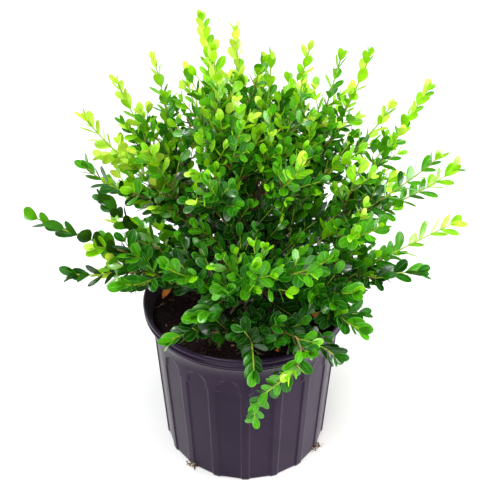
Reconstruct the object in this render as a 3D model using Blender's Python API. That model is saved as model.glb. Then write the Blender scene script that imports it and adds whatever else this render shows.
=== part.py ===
"""A boxwood shrub in a round nursery pot, standing on the flat underside of the pot.

Metres, +Z up. The origin is the middle of the pot's underside. Azimuth 0 is the front (-Y) and
grows towards the right (+X), so 90 is right, 180 is the back and -90 is left.

The shrub is many-stemmed. A short root crown stands on the soil, boughs leave its rounded head,
and each bough ends in a swollen fork that carries up to four leafy masses. A mass is one leader
with side twigs and opposite pairs of leaves, all fused into one closed body.
"""
import math
import random

import bmesh
import bpy
from mathutils import Vector
from mathutils.bvhtree import BVHTree

SEED = 11
GAP = 0.0003  # clearance between pieces that meet
UP = Vector((0, 0, 1))

# The pot: a tapered can with flat arched panels, a flared collar and a rolled lip.
POT_HEIGHT = 0.200
RIM_RADIUS = 0.1175
FOOT_RADIUS = 0.0998
SHOULDER_RADIUS = 0.1077
SHOULDER_Z = 0.165
PANEL_COUNT = 18
PANEL_PITCH = 360 / PANEL_COUNT
PANEL_DEPTH = 0.0010
PANEL_EDGE = 3.2  # degrees from a rib's middle to the flat of the panel
RIB_EDGE = 1.8  # degrees from a rib's middle to its own edge
ARCH_SPRING_Z = 0.143  # where a panel's arched top begins
ARCH_TOP_Z = 0.161
FLOOR_Z = 0.0025
FLOOR_RADIUS = 0.0962
INNER_SHOULDER_Z = 0.172
INNER_SHOULDER_RADIUS = 0.1054
INNER_RIM_Z = 0.1935
INNER_RIM_RADIUS = 0.1130
# Collar and lip from the shoulder up, as height and radius.
RIM_PROFILE = (
    (0.178, 0.1106),
    (0.1885, 0.1168),
    (0.1922, 0.1154),
    (0.1955, RIM_RADIUS),
    (POT_HEIGHT, 0.1160),
)
DRAIN_ANGLES = (-40, 60, 140, 240)
DRAIN_WIDTH = 0.013
DRAIN_HEIGHT = 0.007
DRAIN_DEPTH = 0.014

# The soil fills the pot to a little under the lip, gently mounded, flat under the root crown.
SOIL_Z = 0.180
SOIL_SIDES = 36
SOIL_EDGE_DROP = 0.002
SOIL_BUMP = 0.0012
SOIL_RINGS = (1.0, 0.78, 0.5, 0.2)  # shares of the soil's radius

# The root crown: a flared foot that narrows to a neck under a rounded head.
HEAD = Vector((0, 0, 0.207))
HEAD_RADIUS = 0.0115
HEAD_LATITUDES = (-35, -5, 25, 50, 72)
# The foot's rings up to the neck: height over the soil, radius, and depth of the root lobes.
FOOT_PROFILE = (
    (0.0, 0.0175, 0.22),
    (0.004, 0.0128, 0.12),
    (0.010, 0.0095, 0.05),
)
CROWN_SIDES = 16
ROOT_LOBES = 5

# Boughs and stems.
BOUGH_SIDES = 5
BOUGH_RINGS = 5
BOUGH_RADII = (0.0026, 0.0021)
FORK_RADIUS = 0.0032
FORK_SWELL_LENGTH = 0.004
FORK_SHARE = 0.40  # how far along its leaders' reach a bough forks
STEM_OFFSET = 0.0019  # from the fork's middle to each stem
STEM_FOOT = 0.003  # the length of stem that stands square on the fork
STEM_RADII = (0.0012, 0.0007)
TWIG_RADII = (0.0009, 0.0006)
STEM_RINGS = 5
TWIG_RINGS = 4

# Leaves: opposite pairs, each pair turned a quarter from the last. Fewer and larger than life,
# most of all inside the crown, where each stands for a spray.
INNER_LEAF_LENGTH = 0.042
TIP_LEAF_LENGTH = 0.026
LEAF_WIDTH_SHARE = 0.60
LEAF_THICKNESS_SHARE = 0.036
LEAF_TRIMS = (1.0, 0.8, 0.6)  # the sizes tried before a leaf that has no room is left out
LAST_LEAF_REACH = 0.020  # how far the last leaves carry on past the end of their stem
REACH_MARGIN = 0.004  # the most that a leaf may pass its leader's reach
INTERNODE = 0.0275
LEAFLESS_SHARE = 0.36  # the part of a shoot nearest its foot that carries no leaves
OPEN_ANGLE = 58  # degrees between stem and leaf at a shoot's foot
TIP_ANGLE = 24  # and at its tip
SIDE_TWIG_SHARES = (0.2, 0.36, 0.54)  # where side twigs leave a leader
SIDE_TWIG_LENGTH = 0.062
SIDE_TWIG_ANGLE = 46
SIDE_TWIG_LIFT = 0.12  # how far a twig's end turns up, as a share of its length
SHORTEST_TWIG = 0.03
TWIG_TRIM = 0.75  # how much shorter a twig is tried when it has no room
GOLDEN_ANGLE = 137.5
SPACE_MARGIN = 0.0006  # how much nearer its own leader each point of a mass lies
POT_MARGIN = 0.001  # the least distance of a leaf or twig from the pot, half as much again on soil

# The way each bough leaves the head, as azimuth and elevation in degrees.
BOUGH_LEAVES = {
    "left_low": (-75, 12),
    "left_high": (-108, 44),
    "top_left": (-60, 76),
    "top_right": (100, 72),
    "back_high": (178, 50),
    "right_high": (118, 42),
    "right_mid": (76, 30),
    "right_low": (58, 2),
    "front_low": (0, 2),
    "front_mid": (0, 40),
    "back_left": (-145, 16),
    "back_right": (148, 12),
}

# The crown. Each bough names its leaders, and each leader is where its tip lies, seen from the
# root crown's head: azimuth and elevation in degrees, reach in metres, and how much the shoot
# turns up (or down, below 0) at its end.
CROWN = {
    "left_low": {
        "left_long": (-80, 28, 0.256, 0.1),
        "left_bottom": (-75, 16, 0.203, 0.0),
        "left_shade": (-104, 30, 0.200, 0.2),
        "left_front_low": (-55, 24, 0.172, 0.1),
    },
    "left_high": {
        "left_mid": (-88, 44, 0.236, 0.4),
        "left_bright": (-103, 48, 0.266, 0.2),
        "left_upper": (-113, 57, 0.278, 0.3),
        "left_tall": (-124, 65, 0.284, 0.2),
    },
    "top_left": {
        "top_leader": (-137, 78, 0.310, 0.0),
        "top_second": (-60, 83, 0.295, 0.0),
        "front_high_left": (-22, 64, 0.215, 0.4),
    },
    "top_right": {
        "top_third": (-172, 75, 0.294, 0.1),
        "top_fourth": (150, 78, 0.270, 0.1),
        "top_sixth": (95, 77, 0.258, 0.2),
        "front_high_right": (38, 66, 0.225, 0.4),
    },
    "back_high": {
        "top_fifth": (168, 64, 0.266, 0.2),
        "top_seventh": (137, 69, 0.284, 0.3),
        "back_crown": (-152, 55, 0.250, 0.3),
        "back_mid": (172, 42, 0.235, 0.3),
    },
    "right_high": {
        "right_tall": (112, 68, 0.286, 0.4),
        "right_tall_outer": (119, 59, 0.301, 0.5),
        "right_upper": (98, 55, 0.268, 0.4),
    },
    "right_mid": {
        "right_long": (107, 47, 0.306, 0.4),
        "right_first": (87, 41, 0.267, 0.2),
        "right_short": (62, 40, 0.205, 0.3),
        "right_second": (99, 30, 0.276, 0.2),
    },
    "right_low": {
        "right_bright": (85, 24, 0.249, 0.2),
        "right_bottom": (73, 18, 0.208, -0.1),
        "front_right_upper": (52, 22, 0.160, 0.2),
        "front_right_lower": (48, 9, 0.168, 0.0),
    },
    "front_low": {
        "front_right": (37, 1, 0.160, -0.2),
        "hanging": (4, -28, 0.172, -1.2),
        "front_tip": (3, 6, 0.160, -0.6),
        "front_left": (-31, 10, 0.155, 0.0),
    },
    "front_mid": {
        "front_left_mid": (-32, 38, 0.185, 0.3),
        "front_face": (4, 42, 0.190, 0.4),
        "front_right_mid": (34, 40, 0.195, 0.3),
        "front_bright": (-22, 22, 0.150, 0.3),
    },
    "back_left": {
        "back_left_upper": (-145, 36, 0.235, 0.3),
        "back_left_long": (-124, 22, 0.222, 0.1),
        "back_left_low": (-158, 14, 0.196, 0.0),
    },
    "back_right": {
        "back_right_upper": (144, 40, 0.245, 0.3),
        "back_right_long": (124, 20, 0.232, 0.1),
        "back_right_low": (158, 14, 0.198, 0.0),
    },
}

# The hanging shoot passes over this point on its way across the lip: azimuth, elevation, reach.
OVER_LIP = {"hanging": (24, 7, 0.138)}


def clear_scene():
    for old in list(bpy.data.objects):
        bpy.data.objects.remove(old)


def material(name, colour, roughness):
    made = bpy.data.materials.new(name)
    made.use_nodes = True
    shader = made.node_tree.nodes["Principled BSDF"]
    shader.inputs["Base Color"].default_value = (*colour, 1)
    shader.inputs["Roughness"].default_value = roughness
    shader.inputs["Metallic"].default_value = 0
    return made


def make_object(name, points, faces, skin, smooth=True):
    """A named mesh object with outward faces; smooth ones stay sharp over their edges."""
    mesh = bpy.data.meshes.new(name)
    mesh.from_pydata([tuple(p) for p in points], [], faces)
    shape = bmesh.new()
    shape.from_mesh(mesh)
    bmesh.ops.recalc_face_normals(shape, faces=shape.faces)
    shape.to_mesh(mesh)
    shape.free()
    if smooth:
        mesh.shade_smooth()
        mesh.set_sharp_from_angle(angle=math.radians(35))
    mesh.materials.append(skin)
    made = bpy.data.objects.new(name, mesh)
    bpy.context.scene.collection.objects.link(made)
    return made


def direction(azimuth, elevation):
    a, e = math.radians(azimuth), math.radians(elevation)
    return Vector((math.sin(a) * math.cos(e), -math.cos(a) * math.cos(e), math.sin(e)))


def ring_faces(rings, sides):
    """Quads between successive rings of points, and a cap at each end."""
    faces = []
    for r in range(rings - 1):
        for s in range(sides):
            t = (s + 1) % sides
            faces.append((r * sides + s, r * sides + t, (r + 1) * sides + t, (r + 1) * sides + s))
    faces.append(tuple(reversed(range(sides))))
    faces.append(tuple((rings - 1) * sides + s for s in range(sides)))
    return faces


def panel_columns():
    """The pot's columns: azimuth, and the distance from the panel's middle, or None on a rib."""
    half = PANEL_PITCH / 2
    flat = half - PANEL_EDGE
    for rib in range(PANEL_COUNT):
        middle = rib * PANEL_PITCH + half
        for offset in (-half + RIB_EDGE, -flat, -flat / 3, flat / 3, flat, half - RIB_EDGE):
            yield middle + offset, (offset if abs(offset) <= flat else None)


def wall_radius(z):
    share = min(1, z / SHOULDER_Z)
    return FOOT_RADIUS + (SHOULDER_RADIUS - FOOT_RADIUS) * share


def panel_radius(z, from_middle):
    """The radius of a panel's flat face, which lies square to the panel's middle."""
    edge = math.radians(PANEL_PITCH / 2 - PANEL_EDGE)
    flat = (wall_radius(z) - PANEL_DEPTH) * math.cos(edge)
    return flat / math.cos(math.radians(from_middle))


def arch_height(from_middle):
    share = from_middle / (PANEL_PITCH / 2 - PANEL_EDGE)
    return ARCH_SPRING_Z + (ARCH_TOP_Z - ARCH_SPRING_Z) * math.sqrt(max(0, 1 - share * share))


def pot_column(from_middle):
    """One column of the pot's section, up the outside and down the inside, as (z, radius)."""
    ledge = 0.001
    top = ARCH_TOP_Z if from_middle is None else arch_height(from_middle)

    def outer(z):
        return wall_radius(z) if from_middle is None else panel_radius(z, from_middle)

    return [
        (0, outer(0)),
        (top - ledge, outer(top - ledge)),
        (top, wall_radius(top)),
        (SHOULDER_Z, SHOULDER_RADIUS),
        *RIM_PROFILE,
        (INNER_RIM_Z, INNER_RIM_RADIUS),
        (INNER_SHOULDER_Z, INNER_SHOULDER_RADIUS),
        (FLOOR_Z, FLOOR_RADIUS),
    ]


def build_pot(skin):
    columns = [(azimuth, pot_column(middle)) for azimuth, middle in panel_columns()]
    rows = len(columns[0][1])
    points = []
    for row in range(rows):
        for azimuth, column in columns:
            z, radius = column[row]
            points.append(direction(azimuth, 0) * radius + UP * z)
    pot = make_object("pot", points, ring_faces(rows, len(columns)), skin)
    for azimuth in DRAIN_ANGLES:
        cutter = drain_cutter(azimuth)
        cut = pot.modifiers.new("drain", "BOOLEAN")
        cut.operation = "DIFFERENCE"
        cut.object = cutter
    return pot


def drain_cutter(azimuth):
    """A block that opens a low drain hole through the foot of the wall."""
    bpy.ops.mesh.primitive_cube_add(size=1)
    cutter = bpy.context.object
    cutter.name = f"drain_cutter_{azimuth}"
    cutter.scale = (DRAIN_WIDTH, DRAIN_DEPTH, DRAIN_HEIGHT * 2)
    cutter.location = direction(azimuth, 0) * FOOT_RADIUS
    cutter.rotation_euler = (0, 0, math.radians(azimuth))
    cutter.hide_render = True
    cutter.display_type = "WIRE"
    return cutter


def inner_radius(z):
    """The radius of the pot's inside, which flares above its shoulder."""
    if z < INNER_SHOULDER_Z:
        share = (z - FLOOR_Z) / (INNER_SHOULDER_Z - FLOOR_Z)
        return FLOOR_RADIUS + (INNER_SHOULDER_RADIUS - FLOOR_RADIUS) * share
    share = (z - INNER_SHOULDER_Z) / (INNER_RIM_Z - INNER_SHOULDER_Z)
    return INNER_SHOULDER_RADIUS + (INNER_RIM_RADIUS - INNER_SHOULDER_RADIUS) * share


def build_soil(skin):
    chance = random.Random(SEED)
    wall_clearance = GAP * 1.3
    edge_z = SOIL_Z - SOIL_EDGE_DROP
    rings = [(FLOOR_Z + GAP, inner_radius(FLOOR_Z) - wall_clearance, 0),
             (INNER_SHOULDER_Z, inner_radius(INNER_SHOULDER_Z) - wall_clearance, 0)]
    top_radius = inner_radius(edge_z) - wall_clearance
    for share in SOIL_RINGS:
        mound = edge_z + SOIL_EDGE_DROP * (1 - share * share)
        inside = share not in (SOIL_RINGS[0], SOIL_RINGS[-1])
        z = SOIL_Z if share == SOIL_RINGS[-1] else mound
        rings.append((z, top_radius * share, SOIL_BUMP if inside else 0))
    points = []
    for z, radius, bump in rings:
        for side in range(SOIL_SIDES):
            lift = chance.uniform(-bump, bump)
            points.append(direction(side * 360 / SOIL_SIDES, 0) * radius + UP * (z + lift))
    return make_object("soil", points, ring_faces(len(rings), SOIL_SIDES), skin)


def build_root_crown(skin):
    """The short trunk: a lobed root flare on the soil, a neck, and the head the boughs leave."""
    rings = [(SOIL_Z + GAP + height, radius, lobe) for height, radius, lobe in FOOT_PROFILE]
    for latitude in HEAD_LATITUDES:
        a = math.radians(latitude)
        rings.append((HEAD.z + HEAD_RADIUS * math.sin(a), HEAD_RADIUS * math.cos(a), 0))
    points = []
    for z, radius, lobe in rings:
        for side in range(CROWN_SIDES):
            azimuth = side * 360 / CROWN_SIDES
            swell = 1 + lobe * math.sin(math.radians(azimuth * ROOT_LOBES))
            points.append(direction(azimuth, 0) * radius * swell + UP * z)
    return make_object("root_crown", points, ring_faces(len(rings), CROWN_SIDES), skin)


def bezier(a, b, c, d, t):
    s = 1 - t
    return a * s ** 3 + b * (3 * s * s * t) + c * (3 * s * t * t) + d * t ** 3


def curve(a, b, c, d, count):
    return [bezier(a, b, c, d, i / (count - 1)) for i in range(count)]


def frames(path):
    """A tangent and two side vectors at each point of a path, carried along without twist."""
    last = len(path) - 1
    tangents = [(path[min(i + 1, last)] - path[max(i - 1, 0)]).normalized() for i in range(last + 1)]
    side = tangents[0].orthogonal().normalized()
    made = []
    for tangent in tangents:
        side = (side - tangent * side.dot(tangent)).normalized()
        made.append((tangent, side, tangent.cross(side)))
    return made


def tube(path, radii, sides, turn=0.0):
    """Points and faces of a tapering tube whose end caps are square to the path."""
    points = []
    for point, (_, side, other), radius in zip(path, frames(path), radii):
        for s in range(sides):
            a = turn + 2 * math.pi * s / sides
            points.append(point + (side * math.cos(a) + other * math.sin(a)) * radius)
    return points, ring_faces(len(path), sides)


def taper(radii, count):
    first, last = radii
    return [first + (last - first) * i / (count - 1) for i in range(count)]


def tip_of(leader):
    """Where a leader's stem ends: its last leaves carry on to its full reach."""
    azimuth, elevation, reach, _ = leader
    return HEAD + direction(azimuth, elevation) * (reach - LAST_LEAF_REACH)


def fork_of(bough):
    """The middle of a bough's fork, and the way the bough points there: towards its leaders."""
    tips = [tip_of(leader) for leader in CROWN[bough].values()]
    axis = sum(((tip - HEAD).normalized() for tip in tips), Vector()).normalized()
    reach = sum((tip - HEAD).length for tip in tips) / len(tips)
    return HEAD + axis * reach * FORK_SHARE, axis


def bough_path(bough):
    fork, axis = fork_of(bough)
    leaving = direction(*BOUGH_LEAVES[bough])
    start = HEAD + leaving * (HEAD_RADIUS + GAP)
    handle = (fork - start).length * 0.35
    return curve(start, start + leaving * handle, fork - axis * handle, fork, BOUGH_RINGS)


def build_bough(name, skin):
    path = bough_path(name)
    swell = path[-1] - (path[-1] - path[-2]).normalized() * FORK_SWELL_LENGTH
    path.insert(-1, swell)
    radii = taper(BOUGH_RADII, len(path) - 1) + [FORK_RADIUS]
    points, faces = tube(path, radii, BOUGH_SIDES)
    return make_object("bough_" + name, points, faces, skin)


def stem_starts(bough):
    """Where each leader's stem stands on the fork: evenly round it, nearest to where it goes."""
    fork, axis = fork_of(bough)
    side = axis.orthogonal().normalized()
    other = axis.cross(side)
    headings = {}
    for name, leader in CROWN[bough].items():
        away = tip_of(leader) - fork
        headings[name] = math.atan2(away.dot(other), away.dot(side))
    order = sorted(headings, key=headings.get)
    step = 2 * math.pi / len(order)
    x = sum(math.cos(headings[name] - i * step) for i, name in enumerate(order))
    y = sum(math.sin(headings[name] - i * step) for i, name in enumerate(order))
    first = math.atan2(y, x)
    starts = {}
    for i, name in enumerate(order):
        a = first + i * step
        starts[name] = fork + axis * GAP + (side * math.cos(a) + other * math.sin(a)) * STEM_OFFSET
    return starts, axis


def leader_path(name, start, axis, leader):
    """The leader's line from its fork to its tip: straight off the fork, then on to the tip."""
    tip = tip_of(leader)
    foot = start + axis * STEM_FOOT
    ending = ((tip - HEAD).normalized() + UP * leader[3]).normalized()
    if name in OVER_LIP:
        azimuth, elevation, reach = OVER_LIP[name]
        over = HEAD + direction(azimuth, elevation) * reach
        crossing = (tip - foot).normalized()
        out = (over - foot).length * 0.35
        down = (tip - over).length * 0.35
        return ([start] + curve(foot, foot + axis * out, over - crossing * out, over, STEM_RINGS)
                + curve(over, over + crossing * down, tip - ending * down, tip, STEM_RINGS)[1:])
    length = (tip - foot).length
    return [start] + curve(foot, foot + axis * length * 0.25, tip - ending * length * 0.35, tip,
                           STEM_RINGS)


def along(path, share):
    """A point and tangent at a share of a path's length."""
    lengths = [(b - a).length for a, b in zip(path, path[1:])]
    left = share * sum(lengths)
    for (a, b), length in zip(zip(path, path[1:]), lengths):
        if left <= length:
            return a.lerp(b, left / length), (b - a).normalized()
        left -= length
    return path[-1].copy(), (path[-1] - path[-2]).normalized()


def path_length(path):
    return sum((b - a).length for a, b in zip(path, path[1:]))


def leaf_shape(base, heading, normal, length):
    """A blunt egg-shaped leaf, widest past its middle, ridged above and flat below."""
    width = LEAF_WIDTH_SHARE * length
    across = heading.cross(normal).normalized()
    normal = across.cross(heading).normalized()

    def at(share, side, lift):
        return base + heading * length * share + across * width * side + normal * lift

    outline = ((0, 0), (0.52, 0.5), (0.97, 0.22), (0.97, -0.22), (0.52, -0.5))
    points = [at(share, side, 0) for share, side in outline]
    points.append(at(0.45, 0, LEAF_THICKNESS_SHARE * length))
    rim = len(outline)
    faces = [(i, (i + 1) % rim, rim) for i in range(rim)]
    faces.append(tuple(reversed(range(rim))))
    return points, faces


def leaf_pairs(path, chance):
    """The leaves of one shoot as (base, heading, normal, length), from its foot to its tip."""
    length = path_length(path)
    count = max(1, round(length * (1 - LEAFLESS_SHARE) / INTERNODE))
    twist = chance.uniform(0, math.pi)
    for node in range(count + 1):
        share = LEAFLESS_SHARE + (1 - LEAFLESS_SHARE) * node / count
        point, tangent = along(path, min(share, 0.995))
        flat = tangent.cross(UP)
        side = flat.normalized() if flat.length > 0.2 else tangent.orthogonal().normalized()
        other = tangent.cross(side)
        upright = abs(tangent.z)
        a = (node % 2) * math.pi / 2 * (0.3 + 0.7 * upright) + twist * upright
        a += chance.uniform(-0.2, 0.2)
        lateral = side * math.cos(a) + other * math.sin(a)
        age = 1 - node / count
        opening = math.radians(TIP_ANGLE + (OPEN_ANGLE - TIP_ANGLE) * min(1, age * 1.6))
        size = TIP_LEAF_LENGTH + (INNER_LEAF_LENGTH - TIP_LEAF_LENGTH) * min(1, age * 1.8)
        for sign in (1, -1):
            spread = opening + chance.uniform(-0.14, 0.14)
            heading = tangent * math.cos(spread) + lateral * sign * math.sin(spread)
            normal = tangent * math.sin(spread) - lateral * sign * math.cos(spread)
            normal = normal.lerp(UP, 0.35 * (1 - upright))
            yield point, heading.normalized(), normal, size * chance.uniform(0.92, 1.06)


def distance_to_paths(point, paths):
    """The least distance from a point to each named path."""
    found = {}
    for name, path in paths.items():
        best = 1.0
        for a, b in zip(path, path[1:]):
            run = b - a
            t = min(1, max(0, (point - a).dot(run) / run.length_squared))
            best = min(best, (a + run * t - point).length)
        found[name] = best
    return found


def in_own_space(points, name, paths):
    for point in points:
        found = distance_to_paths(point, paths)
        own = found.pop(name)
        if own + SPACE_MARGIN > min(found.values()):
            return False
    return True


def clear_of_pot(points):
    """True where every point is above the soil, or outside the pot's wall."""
    for p in points:
        radius = math.hypot(p.x, p.y)
        if radius < INNER_RIM_RADIUS and p.z < SOIL_Z + POT_MARGIN * 1.5:
            return False
        over_lip = INNER_RIM_RADIUS <= radius < RIM_RADIUS + POT_MARGIN
        if over_lip and p.z < POT_HEIGHT + POT_MARGIN:
            return False
    return True


def shape_of(solid):
    """The points and faces of an object as its modifiers leave it."""
    mesh = solid.evaluated_get(bpy.context.evaluated_depsgraph_get()).data
    return [v.co.copy() for v in mesh.vertices], [tuple(f.vertices) for f in mesh.polygons]


def tree_of(shapes):
    points, faces = [], []
    for shape_points, shape_faces in shapes:
        base = len(points)
        points += [Vector(p) for p in shape_points]
        faces += [tuple(i + base for i in f) for f in shape_faces]
    return BVHTree.FromPolygons(points, faces)


def thickened(points, amount):
    """The same points pushed away from their middle, to keep a little clear of neighbours."""
    middle = sum((Vector(p) for p in points), Vector()) / len(points)
    return [p + (p - middle).normalized() * amount for p in points]


def grow_mass(name, start, axis, leader, paths, obstacles):
    """The shapes of one mass: its stem, its side twigs and its leaves."""
    chance = random.Random(f"{SEED} {name}")
    path = leader_path(name, start, axis, leader)
    stem = tube(path, taper(STEM_RADII, len(path)), 3)
    shapes = [stem]

    def fits(points, faces):
        if max((p - HEAD).length for p in points) > leader[2] + REACH_MARGIN:
            return False
        if not clear_of_pot(points) or not in_own_space(points, name, paths):
            return False
        near = BVHTree.FromPolygons(thickened(points, GAP * 2), faces)
        return not any(near.overlap(tree) for tree in obstacles)

    def add_leaves(shoot):
        for base, heading, normal, size in leaf_pairs(shoot, chance):
            own = tree_of(shapes)
            for trim in LEAF_TRIMS:
                leaf = leaf_shape(base, heading, normal, size * trim)
                blade = leaf_shape(base + heading * size * 0.2, heading, normal, size * trim * 0.8)
                if fits(*leaf) and not own.overlap(tree_of([blade])):
                    shapes.append(leaf)
                    break

    add_leaves(path)
    turn = chance.uniform(0, 2 * math.pi)
    for number, share in enumerate(SIDE_TWIG_SHARES):
        point, tangent = along(path, share)
        side = tangent.orthogonal().normalized()
        a = turn + number * math.radians(GOLDEN_ANGLE)
        lateral = side * math.cos(a) + tangent.cross(side) * math.sin(a)
        angle = math.radians(SIDE_TWIG_ANGLE)
        heading = tangent * math.cos(angle) + lateral * math.sin(angle)
        length = SIDE_TWIG_LENGTH * chance.uniform(0.85, 1.15)
        while length > SHORTEST_TWIG:
            lift = UP * length * SIDE_TWIG_LIFT
            twig_path = curve(point, point + heading * length * 0.4,
                              point + heading * length * 0.7 + lift / 3,
                              point + heading * length + lift, TWIG_RINGS)
            twig = tube(twig_path, taper(TWIG_RADII, TWIG_RINGS), 3)
            if fits(*twig):
                shapes.append(twig)
                add_leaves(twig_path)
                break
            length *= TWIG_TRIM
    return shapes


def fuse(name, shapes, skin):
    """Joins a mass's overlapping shapes into one body with one Boolean union."""
    stem = make_object(name, *shapes[0], skin, smooth=False)
    rest = bpy.data.collections.new(name + "_pieces")
    bpy.context.scene.collection.children.link(rest)
    for number, shape in enumerate(shapes[1:]):
        piece = make_object(f"{name}_piece_{number}", *shape, skin, smooth=False)
        bpy.context.scene.collection.objects.unlink(piece)
        rest.objects.link(piece)
    union = stem.modifiers.new("union", "BOOLEAN")
    union.operation = "UNION"
    union.solver = "MANIFOLD"
    union.operand_type = "COLLECTION"
    union.collection = rest
    graph = bpy.context.evaluated_depsgraph_get()
    joined = bpy.data.meshes.new_from_object(stem.evaluated_get(graph))
    stem.modifiers.clear()
    stem.data = joined
    for piece in list(rest.objects):
        bpy.data.objects.remove(piece)
    bpy.data.collections.remove(rest)
    return stem


def build_crown(firm, bark, new_leaf, old_leaf):
    """Boughs and leafy masses, kept clear of each other and of the firm pieces."""
    starts = {bough: stem_starts(bough) for bough in CROWN}
    spaces = {}
    for bough, leaders in CROWN.items():
        where, axis = starts[bough]
        for name, leader in leaders.items():
            spaces[name] = leader_path(name, where[name], axis, leader)
    boughs = [build_bough(bough, bark) for bough in CROWN]
    solids = tree_of([shape_of(solid) for solid in (*firm, *boughs)])
    stems = {name: tree_of([tube(path, taper(STEM_RADII, len(path)), 3)])
             for name, path in spaces.items()}
    done = [solids]
    for bough, leaders in CROWN.items():
        where, axis = starts[bough]
        for name, leader in leaders.items():
            foreign = [tree for other, tree in stems.items() if other != name]
            shapes = grow_mass(name, where[name], axis, leader, spaces, foreign + done)
            done.append(tree_of(shapes))
            skin = new_leaf if leader[1] > 30 else old_leaf
            fuse("leaves_" + name, shapes, skin)


def main():
    clear_scene()
    plastic = material("pot_plastic", (0.035, 0.030, 0.042), 0.38)
    earth = material("potting_soil", (0.035, 0.020, 0.014), 0.95)
    bark = material("bark", (0.22, 0.13, 0.07), 0.85)
    new_leaf = material("leaf_new", (0.19, 0.48, 0.02), 0.45)
    old_leaf = material("leaf_old", (0.05, 0.22, 0.02), 0.40)
    firm = (build_pot(plastic), build_soil(earth), build_root_crown(bark))
    build_crown(firm, bark, new_leaf, old_leaf)


main()
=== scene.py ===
import math
import random

import bmesh
import bpy
import numpy as np
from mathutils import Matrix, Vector, noise


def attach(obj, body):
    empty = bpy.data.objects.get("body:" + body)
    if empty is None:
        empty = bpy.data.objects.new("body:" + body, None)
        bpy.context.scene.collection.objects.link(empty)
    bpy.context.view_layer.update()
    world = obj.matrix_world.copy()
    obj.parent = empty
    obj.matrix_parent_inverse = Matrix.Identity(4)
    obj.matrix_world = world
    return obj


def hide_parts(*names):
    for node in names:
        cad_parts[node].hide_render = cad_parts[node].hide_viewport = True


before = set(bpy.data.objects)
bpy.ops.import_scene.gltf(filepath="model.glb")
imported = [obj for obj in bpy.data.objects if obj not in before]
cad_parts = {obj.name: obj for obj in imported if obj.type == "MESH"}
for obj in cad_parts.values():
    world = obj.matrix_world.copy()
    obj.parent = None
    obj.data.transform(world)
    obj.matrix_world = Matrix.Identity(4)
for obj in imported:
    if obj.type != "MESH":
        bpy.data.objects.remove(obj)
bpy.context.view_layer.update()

SEED = 23
UP = Vector((0, 0, 1))

# The camera stands where the photograph was taken from.
CAMERA_AT = Vector((0, -0.7032, 0.7117))
CAMERA_AIM = Vector((0, 0, 0.2585))
CAMERA_LENS = 54.07
CAMERA_SHIFT_X = 0.0112

# Pot sizes, as in the solids.
POT_HEIGHT = 0.200
RIM_RADIUS = 0.1175
FOOT_RADIUS = 0.0998
SHOULDER_RADIUS = 0.1077
SHOULDER_Z = 0.165
PANEL_COUNT = 18
PANEL_DEPTH = 0.0015
PANEL_HALF = 6.8  # degrees from a panel's middle to the foot of its edge
PANEL_EDGE = 1.0  # degrees over which the edge rises to the rib
ARCH_SPRING_Z = 0.143
ARCH_TOP_Z = 0.161
FLOOR_Z = 0.0025
FLOOR_RADIUS = 0.0962
INNER_SHOULDER_Z = 0.172
INNER_SHOULDER_RADIUS = 0.1054
INNER_RIM_Z = 0.1935
INNER_RIM_RADIUS = 0.1130
DRAIN_ANGLES = (-40, 60, 140, 240)
DRAIN_WIDTH = 0.013
DRAIN_HEIGHT = 0.007
DRAIN_CORNER = 0.0035
SOIL_Z = 0.180

# The root crown and the boughs.
HEAD = Vector((0, 0, 0.207))
HEAD_RADIUS = 0.0115
NECK_RADIUS = 0.0095
ROOT_FLARE_RADIUS = 0.0175
ROOT_LOBES = 5
BOUGH_RADII = (0.0027, 0.0021)
FORK_SHARE = 0.40
STEM_OFFSET = 0.0016
STEM_FOOT = 0.003
LAST_LEAF_REACH = 0.020
TIP_LEAF_REACH = 0.011  # the same for the smaller leaves here
TIP_LEAF_REACHES = {"hanging": 0.022, "front_tip": 0.001}

BOUGH_LEAVES = {
    "left_low": (-75, 12),
    "left_high": (-108, 44),
    "top_left": (-60, 76),
    "top_right": (100, 72),
    "back_high": (178, 50),
    "right_high": (118, 42),
    "right_mid": (76, 30),
    "right_low": (58, 2),
    "front_low": (0, 2),
    "front_mid": (0, 40),
    "back_left": (-145, 16),
    "back_right": (148, 12),
}

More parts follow.
